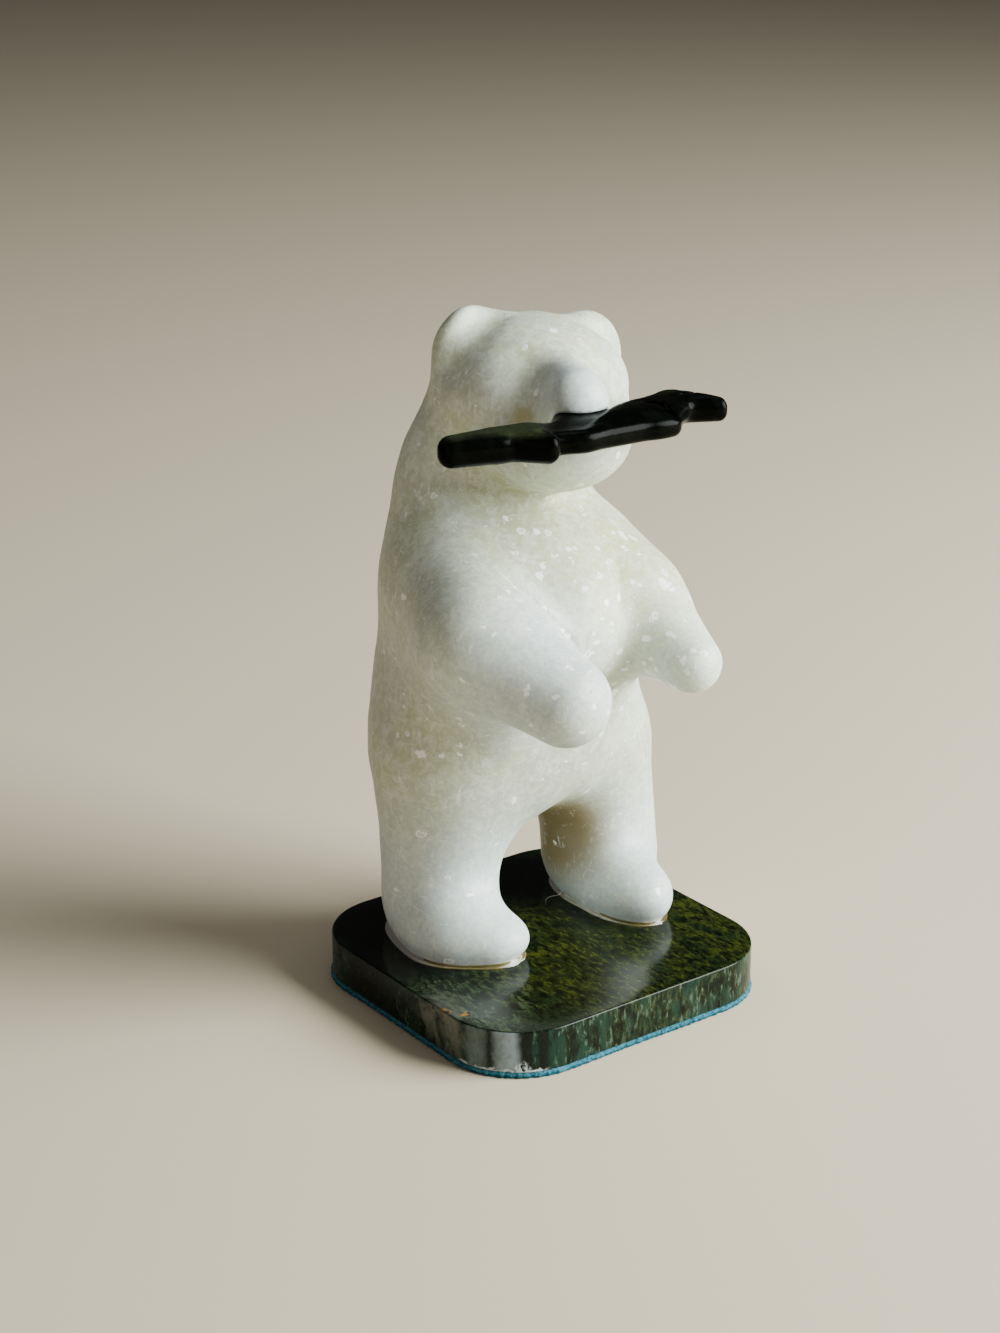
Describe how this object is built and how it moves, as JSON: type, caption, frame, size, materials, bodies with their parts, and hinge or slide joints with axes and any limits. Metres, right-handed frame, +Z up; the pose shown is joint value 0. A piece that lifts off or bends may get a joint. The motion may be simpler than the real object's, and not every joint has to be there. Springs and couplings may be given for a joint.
{
  "type": "carved stone bear figure",
  "caption": "Carved marble bear standing upright on a square stone plinth with rounded corners, a dark stone fish held across its mouth, for display on a shelf.",
  "frame": {"origin": "middle of the felt pad's underside, where the figure rests", "axes": "+Z up, -Y the way the bear faces, +X the bear's left side; the plinth's sides run along X and Y"},
  "size_m": [0.0808, 0.083, 0.1501],
  "materials": {
    "white_marble": "satin",
    "black_jade": "gloss",
    "green_serpentine": "gloss",
    "turquoise_felt": "matte"
  },
  "bodies": {
    "root": {"bear": "white_marble", "fish": "black_jade", "plinth": "green_serpentine", "felt_pad": "turquoise_felt"}
  },
  "joints": []
}
